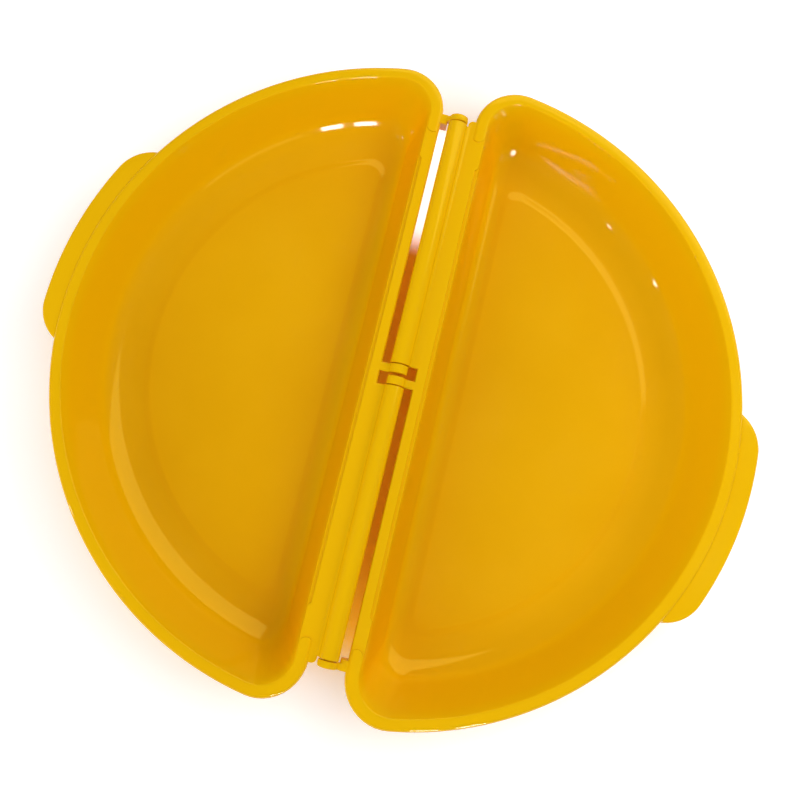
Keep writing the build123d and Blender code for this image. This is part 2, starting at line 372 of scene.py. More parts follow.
# %% The bowl's outlines, row by row
sides = {
    "arc": (bowl.arc_lean, bowl.arc_fillet, bowl.floor),
    "straight": (bowl.straight_lean, bowl.straight_fillet, bowl.floor),
}
arc_run = wall_run(bowl_group, depth, *sides["arc"], bowl.edge_round)
straight_run = wall_run(bowl_group, depth, *sides["straight"], bowl.edge_round)
full_run = wall_run(bowl_group, bowl.floor, *sides["arc"])
corner = bowl.corner_top - (bowl.corner_top - bowl.corner_floor) * (arc_run / full_run)
height = bowl.rim_top - depth + bowl.lid * row.maths("LESS_THAN", 1.5)
point = use_group(bowl_group, moon_group, Gap=bowl.gap + straight_run, Radius=bowl.radius - arc_run,
                  Corner=corner, Arc_centre=bowl.arc_centre, Height=height, **shares)
solid = close_stack(bowl_group, grid, row, BOWL_ROWS, point.outputs[0], rising=False)
fill(bowl_group, bowl_out, Mesh=solid)
print("Bowl solid:", len(bowl_group.nodes), "nodes")

# %% [markdown]
# ## Rim, floor panel and the hollow underneath
# Three flatter stacks finish the shell. The rim is a slab with a large round on its top edge. The floor
# panel rises half a millimetre on a soft ramp, and the hollow under it leaves the foot that the tray
# stands on.

# %% Group: a flat half-moon slab with rounded edges
SLAB_ROUND_ROWS = 6
# Two closing points, the first outline and the straight side
SLAB_ROWS = 2 * SLAB_ROUND_ROWS + 4
slab_group, slab, slab_out = new_group(
    "Half-moon slab",
    numbers("Gap", "Radius", "Corner", "Arc centre", "Base", "Height", "Under round", "Top round"),
    [("Mesh", "Geometry")],
)
grid, row, shares = stack_grid(slab_group, SLAB_ROWS)
under_turn = share(row, 1, SLAB_ROUND_ROWS) * (pi / 2)
side_share = share(row, 1 + SLAB_ROUND_ROWS, 1)
top_turn = share(row, 2 + SLAB_ROUND_ROWS, SLAB_ROUND_ROWS) * (pi / 2)
inset = slab.under_round * (1.0 - under_turn.maths("SINE"))
inset = inset + slab.top_round * (1.0 - top_turn.maths("COSINE"))
height = slab.base + slab.under_round * (1.0 - under_turn.maths("COSINE"))
height = height + (slab.height - slab.under_round - slab.top_round) * side_share
height = height + slab.top_round * top_turn.maths("SINE")
point = use_group(slab_group, moon_group, Gap=slab.gap + inset, Radius=slab.radius - inset,
                  Corner=slab.corner - inset, Arc_centre=slab.arc_centre, Height=height, **shares)
solid = close_stack(slab_group, grid, row, SLAB_ROWS, point.outputs[0], rising=True)
fill(slab_group, slab_out, Mesh=solid)
print("Half-moon slab:", SLAB_ROWS, "rows")

# %% Group: a flat half-moon plateau with a soft ramp
RAMP_ROWS = 8
# Two closing points, the base and the foot of the ramp
PLATEAU_ROWS = RAMP_ROWS + 4
plateau_group, plateau, plateau_out = new_group(
    "Half-moon plateau",
    numbers("Gap", "Radius", "Corner", "Arc centre", "Base", "Foot", "Rise", "Ramp"),
    [("Mesh", "Geometry")],
)
grid, row, shares = stack_grid(plateau_group, PLATEAU_ROWS)
climb = share(row, 2, RAMP_ROWS)
soft_climb = climb * climb * (3.0 - 2.0 * climb)
at_base = row.maths("LESS_THAN", 1.5)
height = plateau.foot + plateau.rise * soft_climb - (plateau.foot - plateau.base) * at_base
inset = plateau.ramp * climb
point = use_group(plateau_group, moon_group, Gap=plateau.gap + inset, Radius=plateau.radius - inset,
                  Corner=plateau.corner, Arc_centre=plateau.arc_centre, Height=height, **shares)
solid = close_stack(plateau_group, grid, row, PLATEAU_ROWS, point.outputs[0], rising=True)
fill(plateau_group, plateau_out, Mesh=solid)
print("Half-moon plateau:", PLATEAU_ROWS, "rows")

# %% [markdown]
# ## The hinge
# The hinge is a family of plates that all end in a round on the same axis: the barrel, the inner arm and
# the outer arm. Each could be a cylinder joined to a box, but the joint between them would show. So one
# outline serves all three, drawn once as points and pushed along the hinge, with a small blend where the
# flat top runs into the round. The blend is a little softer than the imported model's, as the photograph
# shows it. The small rounds on the ends come from a bevel.

# %% Sizes of the hinge
AXIS_HEIGHT = 24.15
HINGE_HALF_LENGTH = 92.4
HINGE_MIDDLE_GAP = 1.1
END_GAP = 0.35
SIDE_GAP = 0.4
BARREL_RADIUS = 3.195
BARREL_END_ROUND = 0.3
INNER_ARM_RADIUS = 3.0
INNER_ARM_WIDTH = 2.85
ARM_EDGE_ROUND = 0.25
ARM_BLEND = 1.5
CAP_THICKNESS = 2.2
CAP_ROUND = 0.6
FLANGE_THICKNESS = 2.3
ROOT_COVER = 3.0
BAND_TOP = SIZES["Rim top"] - SIZES["Band drop"]
ROOT = SIZES["Hinge to rim"] + ROOT_COVER
SIDE = BARREL_RADIUS + SIDE_GAP
INNER_ARM = (HINGE_MIDDLE_GAP / 2, HINGE_MIDDLE_GAP / 2 + INNER_ARM_WIDTH)
CAP_START = HINGE_HALF_LENGTH - CAP_THICKNESS
BARREL = (INNER_ARM[1] + END_GAP, CAP_START - END_GAP)
print("the barrel runs from", round(BARREL[0], 2), "to", round(BARREL[1], 2), "mm along the hinge")

# %% Outlines and plates
BEVEL_STEPS = 4


def arc_points(centre, radius, start, end, count):
    """Points along an arc, both ends included."""
    angles = [start + (end - start) * i / count for i in range(count + 1)]
    return [(centre[0] + radius * cos(a), centre[1] + radius * sin(a)) for a in angles]


def plate(name, outline, start, end, across, rounds):
    """A closed plate: a flat outline pushed along Y or Z, in millimetres, with rounded free ends."""
    mesh = bmesh.new()
    layers = []
    for level in (start, end):
        spots = [(x, level, z) if across == "Y" else (x, z, level) for x, z in outline]
        layers.append([mesh.verts.new(Vector(p) * MM) for p in spots])
    caps = [mesh.faces.new(layers[0]), mesh.faces.new(list(reversed(layers[1])))]
    for i in range(len(outline)):
        j = (i + 1) % len(outline)
        mesh.faces.new((layers[0][j], layers[0][i], layers[1][i], layers[1][j]))
    bmesh.ops.recalc_face_normals(mesh, faces=mesh.faces)
    for cap, size in zip(caps, rounds):
        if size:
            bmesh.ops.bevel(mesh, geom=list(cap.edges), offset=size * MM, segments=BEVEL_STEPS,
                            profile=0.5, affect="EDGES", clamp_overlap=True)
    data = bpy.data.meshes.new(name)
    mesh.to_mesh(data)
    mesh.free()
    thing = bpy.data.objects.new(name, data)
    bpy.context.scene.collection.objects.link(thing)
    return thing


print("a plate's ends are rounded in", BEVEL_STEPS, "steps")

# %% Barrel and arms
BLEND_STEPS = 10
DISC_STEPS = 72


def link_outline(radius):
    """Outline of a plate that runs from the band to a round on the hinge axis, seen along the hinge."""
    top = BAND_TOP - AXIS_HEIGHT
    base = top - FLANGE_THICKNESS
    reach = radius + ARM_BLEND
    blend_x = sqrt(reach ** 2 - (top + ARM_BLEND) ** 2)
    blend_end = atan2(top + ARM_BLEND, blend_x)
    base_angle = asin(base / radius)
    blend = arc_points((blend_x, top + ARM_BLEND), ARM_BLEND, -pi / 2, blend_end - pi, BLEND_STEPS)
    disc = arc_points((0, 0), radius, blend_end, base_angle + 2 * pi, DISC_STEPS)
    outline = [(ROOT, top)] + blend + disc[1:] + [(ROOT, base)]
    return [(x, AXIS_HEIGHT + z) for x, z in outline]


hinge_parts = [
    plate("barrel", link_outline(BARREL_RADIUS), *BARREL, "Y", (BARREL_END_ROUND, BARREL_END_ROUND)),
    plate("inner_arm", link_outline(INNER_ARM_RADIUS), -INNER_ARM[1], -INNER_ARM[0], "Y",
          (ARM_EDGE_ROUND, ARM_EDGE_ROUND)),
    plate("outer_arm", link_outline(BARREL_RADIUS), -HINGE_HALF_LENGTH, -CAP_START, "Y",
          (CAP_ROUND, ARM_EDGE_ROUND)),
]
print([part.name for part in hinge_parts])

# %% [markdown]
# ## What holds the hinge
# A gusset runs from the outer arm down the bowl's wall and keeps the arm from bending. A peg on each arm
# snaps into a socket in the other tray's barrel. A small nub fills the end of the flange. All of them are
# plates again. The sockets are plates too, which are cut out at the end. The pegs' tips and the gusset's
# inner edge are rounded here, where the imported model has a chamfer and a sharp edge.

# %% Gusset and pegs
GUSSET_EXTRA = 1.2
GUSSET_DEPTH = 6.1
GUSSET_ROUND = 0.8
GUSSET_ROUND_STEPS = 4
GUSSET_EDGE_ROUND = 0.5
PEG_RADIUS = 1.5
PEG_LENGTH = 2.6
PEG_ROOT = 1.0
PEG_TIP_ROUND = 0.4
PEG_STEPS = 32


def disc_outline(radius):
    """A circle round the hinge axis."""
    circle = arc_points((0, 0), radius, 0, 2 * pi, PEG_STEPS)[:-1]
    return [(x, AXIS_HEIGHT + z) for x, z in circle]


gusset_base = BAND_TOP - GUSSET_DEPTH
gusset_foot = ROOT + GUSSET_DEPTH * tan(radians(LEANS["Straight lean"]))
gusset_round = arc_points((SIDE + GUSSET_ROUND, BAND_TOP - GUSSET_ROUND), GUSSET_ROUND, pi / 2, pi,
                          GUSSET_ROUND_STEPS)
gusset_outline = [(ROOT, BAND_TOP)] + gusset_round + [(SIDE, gusset_base), (gusset_foot, gusset_base)]
peg_reach = END_GAP + PEG_LENGTH
hinge_parts += [
    plate("gusset", gusset_outline, -HINGE_HALF_LENGTH, GUSSET_EXTRA - CAP_START, "Y",
          (0.0, GUSSET_EDGE_ROUND)),
    plate("inner_peg", disc_outline(PEG_RADIUS), -INNER_ARM[1] - peg_reach, -INNER_ARM[1] + PEG_ROOT,
          "Y", (PEG_TIP_ROUND, 0.0)),
    plate("outer_peg", disc_outline(PEG_RADIUS), -CAP_START - PEG_ROOT, -CAP_START + peg_reach, "Y",
          (0.0, PEG_TIP_ROUND)),
]
print([part.name for part in hinge_parts[3:]])

# %% Nub and sockets
FLANGE_NUB = 2.0
NUB_ROUND = 1.6
NUB_ROUND_STEPS = 8
PEG_CLEARANCE = 0.08
SOCKET_END_GAP = 0.5
SOCKET_MOUTH = 1.7

nub_start, nub_end = BARREL[1] - FLANGE_NUB, CAP_START + FLANGE_NUB
nub_round = arc_points((SIDE + NUB_ROUND, nub_end - NUB_ROUND), NUB_ROUND, pi / 2, pi, NUB_ROUND_STEPS)
nub_outline = [(ROOT, nub_end)] + nub_round + [(SIDE, nub_start), (ROOT, nub_start)]
hinge_parts.append(plate("nub", nub_outline, BAND_TOP - FLANGE_THICKNESS, BAND_TOP, "Z", (0.0, 0.0)))
hole = disc_outline(PEG_RADIUS + PEG_CLEARANCE)
hole_depth = PEG_LENGTH + SOCKET_END_GAP
sockets = [
    plate("inner_socket", hole, BARREL[0] - SOCKET_MOUTH, BARREL[0] + hole_depth, "Y", (0.0, 0.0)),
    plate("outer_socket", hole, BARREL[1] - hole_depth, BARREL[1] + SOCKET_MOUTH, "Y", (0.0, 0.0)),
]
print(len(hinge_parts), "parts of the hinge and", len(sockets), "sockets to cut")

# %% [markdown]
# ## The grip tab
# A flat tab stands out from the arc, so that fingers can lift a hot tray. A rounded box would be quick,
# but the real tab's outer edge follows the rim's circle. So its outline is worked out: one large arc
# about the tray's own centre, and at each end a corner arc that turns until it is back inside the rim.

# %% The grip tab
TAB_REACH = 6.3
TAB_ROOT = 1.5
TAB_CORNER = 14.0
TAB_MIDDLE = radians(-11.75)
TAB_HALF = radians(13.05)
TAB_THICKNESS = 2.0
TAB_DROP = 1.0
TAB_EDGE_ROUND = 0.8
TAB_ARC_STEPS = 40
TAB_CORNER_STEPS = 16


def on_circle(radius, angle):
    """A point on a circle about the tray's own centre."""
    return (SIZES["Arc centre"] + radius * cos(angle), radius * sin(angle))


reach = SIZES["Rim radius"] + TAB_REACH
root = SIZES["Rim radius"] - TAB_ROOT
ring = reach - TAB_CORNER
tab_turn = acos((root ** 2 - ring ** 2 - TAB_CORNER ** 2) / (2 * ring * TAB_CORNER))
low, high = TAB_MIDDLE - TAB_HALF, TAB_MIDDLE + TAB_HALF
tab_outline = arc_points((SIZES["Arc centre"], 0), reach, low, high, TAB_ARC_STEPS)
tab_outline += arc_points(on_circle(ring, high), TAB_CORNER, high, high + tab_turn, TAB_CORNER_STEPS)[1:]
tab_outline += arc_points(on_circle(ring, low), TAB_CORNER, low - tab_turn, low, TAB_CORNER_STEPS)[:-1]
tab_base = SIZES["Rim top"] - TAB_DROP - TAB_THICKNESS
tab = plate("grip_tab", tab_outline, tab_base, tab_base + TAB_THICKNESS, "Z",
            (TAB_EDGE_ROUND, TAB_EDGE_ROUND))
print("tab points", len(tab_outline))

# %% [markdown]
# ## Putting one tray together
# The main tree joins the solids in the order in which a mould is cut: the slab and the outside of the bowl
# first, then everything that is hollow is taken away, and last the hinge is added. Every size is a named
# input on the modifier, so both trays come from one tree, and the second is turned by half a turn. The
# cutters stand out of what they cut by different lengths, so that no two of their faces lie in one plane.
# For the same reason the outside of the bowl starts a millimetre down, inside the rim's slab.

# %% The tray tree: bowl and rim
BOWL_CUT = 0.003
OUTSIDE_START = 0.001

tray_tree, tray, tray_out = new_group(
    "Tray",
    [("Geometry", "Geometry"), *numbers(*SIZES, *LEANS, "Turn"), ("Plastic", "Material")],
    [("Geometry", "Geometry")],
)
band_inner = tray.hinge_to_rim + tray.band_width
bowl_gap = band_inner + tray.straight_setback
bowl_radius = tray.rim_radius - tray.rim_width
shared = {"Arc_centre": tray.arc_centre, "Arc_lean": tray.arc_lean, "Straight_lean": tray.straight_lean,
          "Rim_top": tray.rim_top}
hollow = use_group(tray_tree, bowl_group, Gap=bowl_gap, Radius=bowl_radius, Corner_top=tray.top_corner,
                   Corner_floor=tray.floor_corner, Arc_fillet=tray.arc_floor_fillet,
                   Straight_fillet=tray.straight_floor_fillet, Floor=tray.bowl_depth,
                   Edge_round=tray.rim_inner_round, Start_depth=0.0, Lid=BOWL_CUT, **shared)
outside = use_group(tray_tree, bowl_group, Gap=bowl_gap - tray.wall / tray.straight_lean.maths("COSINE"),
                    Radius=bowl_radius + tray.wall / tray.arc_lean.maths("COSINE"),
                    Corner_top=tray.top_corner + tray.wall, Corner_floor=tray.floor_corner + tray.wall,
                    Arc_fillet=tray.arc_floor_fillet + tray.wall,
                    Straight_fillet=tray.straight_floor_fillet + tray.wall,
                    Floor=tray.bowl_depth + tray.wall, Edge_round=0.0, Start_depth=OUTSIDE_START,
                    Lid=0.0, **shared)
rim = use_group(tray_tree, slab_group, Gap=tray.hinge_to_rim, Radius=tray.rim_radius,
                Corner=tray.corner_radius, Arc_centre=tray.arc_centre,
                Base=tray.rim_top - tray.rim_height, Height=tray.rim_height,
                Under_round=tray.rim_under_round, Top_round=tray.rim_outer_round)
print("Tray inputs:", len(vars(tray)))

# %% The floor panel and the hollow under it
PANEL_SINK = 0.00003
UNDER_CUT = 0.001
UNDER_LIP = 0.0001

floor_gap = bowl_gap + wall_run(tray_tree, tray.bowl_depth, tray.straight_lean,
                                tray.straight_floor_fillet, tray.bowl_depth)
floor_radius = bowl_radius - wall_run(tray_tree, tray.bowl_depth, tray.arc_lean,
                                      tray.arc_floor_fillet, tray.bowl_depth)
flat = {"Corner": tray.floor_corner, "Arc_centre": tray.arc_centre}
panel = use_group(tray_tree, plateau_group, Gap=floor_gap + tray.panel_margin,
                  Radius=floor_radius - tray.panel_margin, Base=tray.wall / 2,
                  Foot=tray.wall - PANEL_SINK, Rise=tray.panel_rise + PANEL_SINK,
                  Ramp=tray.panel_ramp, **flat)
under = use_group(tray_tree, plateau_group, Gap=floor_gap + tray.foot_width - tray.panel_rise,
                  Radius=floor_radius - tray.foot_width + tray.panel_rise, Base=-UNDER_CUT,
                  Foot=-UNDER_LIP, Rise=tray.panel_rise + UNDER_LIP, Ramp=tray.panel_rise * 2.0, **flat)
print("the panel starts", round(PANEL_SINK / MM, 2), "mm inside the floor, so that the two join")

# %% [markdown]
# ## The recesses along the hinge
# Along the hinge the rim's round bead stops, and a lower flat band takes its place. A shallow ledge runs
# inside it. Both are made as a mould makes them, by taking away the space over them. The bead's two ends
# are round, so two posts are kept out of that space. The ledge's ends slant, so its block is widened
# towards the bowl.


# %% Blocks and Boolean nodes
def moved(tree, mesh, x, y, z):
    """The mesh moved to a place."""
    node = add(tree, "GeometryNodeTransform", Geometry=mesh, Translation=vector(tree, x, y, z))
    return node.outputs[0]


def block(tree, x0, x1, half_y, z0, z1):
    """A box between two X and two Z planes, as long as half_y each way."""
    cube = add(tree, "GeometryNodeMeshCube", Size=vector(tree, x1 - x0, half_y * 2.0, z1 - z0))
    return moved(tree, cube.outputs["Mesh"], (x0 + x1) / 2.0, 0.0, (z0 + z1) / 2.0)


def boolean(tree, operation, first, others):
    """Joins or cuts closed meshes."""
    node = tree.nodes.new("GeometryNodeMeshBoolean")
    node.operation = operation
    node.solver = "MANIFOLD"
    if operation == "DIFFERENCE":
        connect(tree, first, node.inputs["Mesh 1"])
    else:
        others = [first, *others]
    for mesh in reversed(others):
        tree.links.new(mesh, node.inputs["Mesh 2"])
    return node.outputs["Mesh"]


print("blocks and Booleans are ready")

# %% The space over the band
BAND_CUT = 0.002
POST_STEPS = 64
POST_HEIGHT = 0.012

half_bead = (tray.band_width + tray.straight_setback) / 2.0
bead_middle = tray.hinge_to_rim + half_bead
bead_reach = tray.bead_end + half_bead
over_band = block(tray_tree, tray.hinge_to_rim * 0.5, bead_middle + tray.corner_radius / 2.0, bead_reach,
                  tray.rim_top - tray.band_drop, tray.rim_top + BAND_CUT)
bead_ends = []
for way in (-1.0, 1.0):
    post = add(tray_tree, "GeometryNodeMeshCylinder", Vertices=POST_STEPS, Depth=POST_HEIGHT,
               Radius=half_bead)
    bead_ends.append(moved(tray_tree, post.outputs["Mesh"], bead_middle, bead_reach * way, tray.rim_top))
over_band = boolean(tray_tree, "DIFFERENCE", over_band, bead_ends)
print("band:", SIZES["Band drop"], "mm below the bead")

# %% The space over the ledge
LEDGE_CUT = 0.0027

over_ledge = block(tray_tree, band_inner, band_inner + tray.ledge_taper, tray.ledge_half_length,
                   tray.rim_top - tray.ledge_depth, tray.rim_top + LEDGE_CUT)
x, y, z = split(tray_tree, tray_tree.nodes.new("GeometryNodeInputPosition").outputs[0])
wider = y * (1.0 + (x - band_inner) / tray.ledge_half_length)
over_ledge = add(tray_tree, "GeometryNodeSetPosition", Geometry=over_ledge,
                 Position=vector(tray_tree, x, wider, z)).outputs[0]
print("ledge:", SIZES["Ledge depth"], "mm deep")

# %% [markdown]
# ## Join, cut and finish
# The hinge's plates are ordinary objects, so Object Info nodes bring them in. The Manifold solver is the
# fast one, and it asks for closed meshes, which every stack and plate is. Set Shade Smooth comes after
# the last cut, and the tree ends in Realize Instances and Set Material.


# %% Join, cut and finish
def from_scene(tree, thing):
    """The mesh of an object made above."""
    return add(tree, "GeometryNodeObjectInfo", Object=thing).outputs["Geometry"]


shell = boolean(tray_tree, "UNION", rim.outputs[0], [outside.outputs[0], from_scene(tray_tree, tab)])
shell = boolean(tray_tree, "DIFFERENCE", shell, [hollow.outputs[0], over_ledge])
shell = boolean(tray_tree, "DIFFERENCE", shell, [over_band, under.outputs[0]])
parts = [panel.outputs[0]] + [from_scene(tray_tree, part) for part in hinge_parts]
whole = boolean(tray_tree, "UNION", shell, parts)
whole = boolean(tray_tree, "DIFFERENCE", whole, [from_scene(tray_tree, socket) for socket in sockets])
turned = add(tray_tree, "GeometryNodeTransform", Geometry=whole,
             Rotation=vector(tray_tree, 0.0, 0.0, tray.turn))
smooth = add(tray_tree, "GeometryNodeSetShadeSmooth", Geometry=turned.outputs[0])
real = add(tray_tree, "GeometryNodeRealizeInstances", Geometry=smooth.outputs[0])
painted = add(tray_tree, "GeometryNodeSetMaterial", Geometry=real.outputs[0], Material=tray.plastic)
fill(tray_tree, tray_out, Geometry=painted.outputs[0])
print("Tray tree:", len(tray_tree.nodes), "nodes")

# %% [markdown]
# ## The plastic
# Such trays are moulded from polypropylene with a strong yellow dye. Thin walls look deeper in colour than
# the thick rim, and the walls at the hinge, which light comes through, look orange. Subsurface scattering
# would be the first idea for that, but it is slow and turned the thin floors green. So light and shade are
# painted into the colour, by the height above the table and the distance from the hinge: painted shade
# deepens the floor, and painted light makes the rim paler, the walls lighter, and the walls and top at the
# hinge lighter and yellower. The floor and the rim also differ for the plastic's thickness. Slow noise on
# Object coordinates gives the dye a slight cloudiness.

# %% Shader helpers
plastic = bpy.data.materials.new("glossy_yellow_plastic")
plastic.use_nodes = True
paint_tree = plastic.node_tree
skin = paint_tree.nodes["Principled BSDF"]
coordinates = paint_tree.nodes.new("ShaderNodeTexCoord").outputs["Object"]


def cloud(scale, detail, stretch=(1.0, 1.0, 1.0), turn_z=0.0):
    """Noise on Object coordinates, stretched and turned. Scale counts the features in a metre."""
    mapping = add(paint_tree, "ShaderNodeMapping", Vector=coordinates, Scale=stretch,
                  Rotation=(0.0, 0.0, turn_z))
    noise = add(paint_tree, "ShaderNodeTexNoise", Vector=mapping.outputs[0], Scale=scale, Detail=detail)
    return Term(paint_tree, noise.outputs["Fac"])


def between(term, low, high, to_low=0.0, to_high=1.0, kind="LINEAR"):
    """The term taken from one range to another, and kept inside it."""
    node = add(term.tree, "ShaderNodeMapRange", Value=term, From_Min=low, From_Max=high, To_Min=to_low,
               To_Max=to_high)
    node.interpolation_type = kind
    return Term(term.tree, node.outputs[0])


def blend_colours(share_term, first, second):
    """A colour between two, by a share from 0 to 1. The Mix node's colour inputs are its 6 and 7."""
    node = paint_tree.nodes.new("ShaderNodeMix")
    node.data_type = "RGBA"
    for place, value in zip((0, 6, 7), (share_term, first, second)):
        connect(paint_tree, value, node.inputs[place])
    return node.outputs[2]


print("material:", plastic.name)

# %% Colour: the dye, with painted shade and painted light by height and by the hinge
# Painted shade and light: the thin floor is deeper, as in the bowl's shade, and the thick rim paler, as lit
# on top; both also differ for thickness
THIN_SHADED_DEEP, THIN_SHADED_PALE = (0.85, 0.425, 0.001, 1.0), (0.89, 0.455, 0.001, 1.0)
THICK_LIT_DEEP, THICK_LIT_PALE = (0.90, 0.49, 0.001, 1.0), (0.93, 0.52, 0.001, 1.0)
# Painted light: the walls above the floor are lighter, a painted glow of light scattered through the plastic
WALL_PAINTED_GLOW = (0.94, 0.49, 0.001, 1.0)
# Painted light: the walls and the top near the hinge are lighter and yellower than the rest
HINGE_WALL_PAINTED_LIGHT = (1.0, 0.60, 0.001, 1.0)
HINGE_TOP_PAINTED_LIGHT = (0.96, 0.55, 0.001, 1.0)
WALL_STARTS = (0.003, 0.007)
RIM_STARTS = (0.0195, 0.0225)
HINGE_ENDS = (0.013, 0.022)
# Features in a metre, and detail
DYE_CLOUD = (22.0, 3.0)
DYE_RANGE = (0.35, 0.65)

from_hinge, _, height = split(paint_tree, coordinates)
on_wall = between(height, *WALL_STARTS)
thick_lit_rim = between(height, *RIM_STARTS)
at_hinge = between(from_hinge.maths("ABSOLUTE"), *HINGE_ENDS, 1.0, 0.0)
dye_cloud = between(cloud(*DYE_CLOUD), *DYE_RANGE)
# Painted shade on the floor and painted light on the rim, each with the dye's cloudiness
thin_shaded_colour = blend_colours(dye_cloud, THIN_SHADED_DEEP, THIN_SHADED_PALE)
thick_lit_colour = blend_colours(dye_cloud, THICK_LIT_DEEP, THICK_LIT_PALE)
floor_and_wall_glow = blend_colours(on_wall, thin_shaded_colour, WALL_PAINTED_GLOW)
body_colour = blend_colours(at_hinge, floor_and_wall_glow, HINGE_WALL_PAINTED_LIGHT)
top_colour = blend_colours(at_hinge, thick_lit_colour, HINGE_TOP_PAINTED_LIGHT)
fill(paint_tree, skin, Base_Color=blend_colours(thick_lit_rim, body_colour, top_colour))
print("colour: floor, wall, hinge wall and rim, by height and by distance from the hinge")

# %% [markdown]
# ## The gloss
# The mould is polished, so the plastic reflects a window sharply. Washing up and handling dull it
# unevenly. One flat roughness would look like glass or like wax, so two sets of fine scratches that cross,
# deepest on the floor, and a slow cloud where the tray has been handled are added to a low base.

# %% Gloss: polished mould, dulled by washing up
POLISHED = 0.035
HANDLED = 0.035
SCRATCHED = 0.05
WALL_WEAR = 0.25
WEAR_FADES = (0.004, 0.010)
HANDLED_CLOUD = (45.0, 4.0)
HANDLED_RANGE = (0.40, 0.70)
# Features in a metre, detail, stretch and turn, and then the noise that makes a scratch
SCRATCH_SETS = [
    ((900.0, 2.0, (1.0, 0.04, 1.0), 0.6), (0.60, 0.72)),
    ((1000.0, 2.0, (0.05, 1.0, 1.0), -0.4), (0.62, 0.74)),
]

one_way, other_way = [between(cloud(*lines), *noise) for lines, noise in SCRATCH_SETS]
floor_wear = between(height, *WEAR_FADES, 1.0, WALL_WEAR)
scratches = (one_way + other_way) * floor_wear
handled = between(cloud(*HANDLED_CLOUD), *HANDLED_RANGE)
fill(paint_tree, skin, Roughness=POLISHED + handled * HANDLED + scratches * SCRATCHED)
scratch_roughness = round(POLISHED + HANDLED + SCRATCHED, 3)
print("gloss: roughness", POLISHED, "where polished, and", scratch_roughness, "in a scratch")

# %% [markdown]
# ## The relief
# The surface is never quite flat: plastic shrinks as it cools, which leaves long shallow waves that make
# reflections swim. Modelling them would need millions of points for hundredths of a millimetre, so they
# are bump. The bump starts from a Bevel node's normal, which softens edges that the mould rounds a little.

# %% Waves and scratches in the surface
WAVE_CLOUD, WAVE_DEPTH = (26.0, 1.5), 4e-5
RIPPLE_CLOUD, RIPPLE_DEPTH = (140.0, 2.0), 1.5e-6
SCRATCH_DEPTH = 1.2e-6
EDGE_SOFTNESS = 0.0003

relief = cloud(*WAVE_CLOUD) * WAVE_DEPTH + cloud(*RIPPLE_CLOUD) * RIPPLE_DEPTH
relief = relief - scratches * SCRATCH_DEPTH
soft_edge = add(paint_tree, "ShaderNodeBevel", Radius=EDGE_SOFTNESS)
soft_edge.samples = 4
bump = add(paint_tree, "ShaderNodeBump", Normal=soft_edge.outputs[0], Strength=1.0, Distance=1.0,
           Height=relief)
fill(paint_tree, skin, Normal=bump.outputs[0])
print("relief: waves", round(WAVE_DEPTH / MM, 3), "mm deep, soft edges", round(EDGE_SOFTNESS / MM, 2), "mm")

# %% [markdown]
# ## Light through the plastic
# Light that comes through the thin walls at the hinge makes the narrow gap glow orange. A Translucent
# shader passes light on from the other side, which is what the eye sees there. It is mixed in by a share:
# most at the hinge, little elsewhere, and least in the thick rim.

# %% Light through the plastic
GLOW_COLOUR = (1.0, 0.58, 0.0, 1.0)
GLOW_EVERYWHERE = 0.03
GLOW_AT_HINGE = 0.33
GLOW_LOST_IN_RIM = 0.75

fill(paint_tree, skin, IOR=1.49, Specular_IOR_Level=0.4)
glow = add(paint_tree, "ShaderNodeBsdfTranslucent", Color=GLOW_COLOUR, Normal=bump.outputs[0])
lets_through = (at_hinge * GLOW_AT_HINGE + GLOW_EVERYWHERE) * (1.0 - thick_lit_rim * GLOW_LOST_IN_RIM)
mix = paint_tree.nodes.new("ShaderNodeMixShader")
for place, value in zip(mix.inputs, (lets_through, skin.outputs[0], glow.outputs[0])):
    connect(paint_tree, value, place)
fill(paint_tree, paint_tree.nodes["Material Output"], Surface=mix.outputs[0])
print("plastic:", len(paint_tree.nodes), "nodes")

# %% [markdown]
# ## Two trays from one tree
# A modifier's inputs are set by their identifiers before the tree is first read. The result is turned
# into a plain mesh, so that nothing live is left on it, and edges sharper than 35 degrees stay crisp
# while the round ones are shaded smooth.

# %% One tray as a plain mesh
CRISP_ANGLE = 35


def make_tray(name, half_turn):
    """One tray as a plain mesh object."""
    holder = bpy.data.objects.new("tray_holder", bpy.data.meshes.new("tray_holder"))
    bpy.context.scene.collection.objects.link(holder)
    modifier = holder.modifiers.new("Tray", "NODES")
    modifier.node_group = tray_tree
    values = {label: length * MM for label, length in SIZES.items()}
    values.update({label: radians(angle) for label, angle in LEANS.items()})
    values.update({"Turn": half_turn, "Plastic": plastic})
    for socket in tray_tree.interface.items_tree:
        if socket.in_out == "INPUT" and socket.name in values:
            modifier[socket.identifier] = values[socket.name]
    graph = bpy.context.evaluated_depsgraph_get()
    mesh = bpy.data.meshes.new_from_object(holder.evaluated_get(graph), depsgraph=graph)
    mesh.name = name
    mesh.materials.clear()
    mesh.materials.append(plastic)
    mesh.polygons.foreach_set("material_index", [0] * len(mesh.polygons))
    mesh.shade_smooth()
    mesh.set_sharp_from_angle(angle=radians(CRISP_ANGLE))
    piece = bpy.data.objects.new(name, mesh)
    bpy.context.scene.collection.objects.link(piece)
    bpy.data.objects.remove(holder)
    return piece


print("edges stay crisp from", CRISP_ANGLE, "degrees")

# %% Both trays, each on its body
trays = {
    "right_tray": make_tray("right_tray_moulding", 0.0),
    "left_tray": make_tray("left_tray_moulding", pi),
}
for body, piece in trays.items():
    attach(piece, body)
    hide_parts(body)
    print(piece.name, len(piece.data.polygons), "faces", [m.name for m in piece.data.materials])
for pattern in [tab, *hinge_parts, *sockets]:
    bpy.data.objects.remove(pattern)

# %% [markdown]
# ## The table
# The trays lie on a plain white table. To the camera and in reflections it is brighter than to the light
# that it throws back, so that it comes out white without more light on the object. The shadow stays.

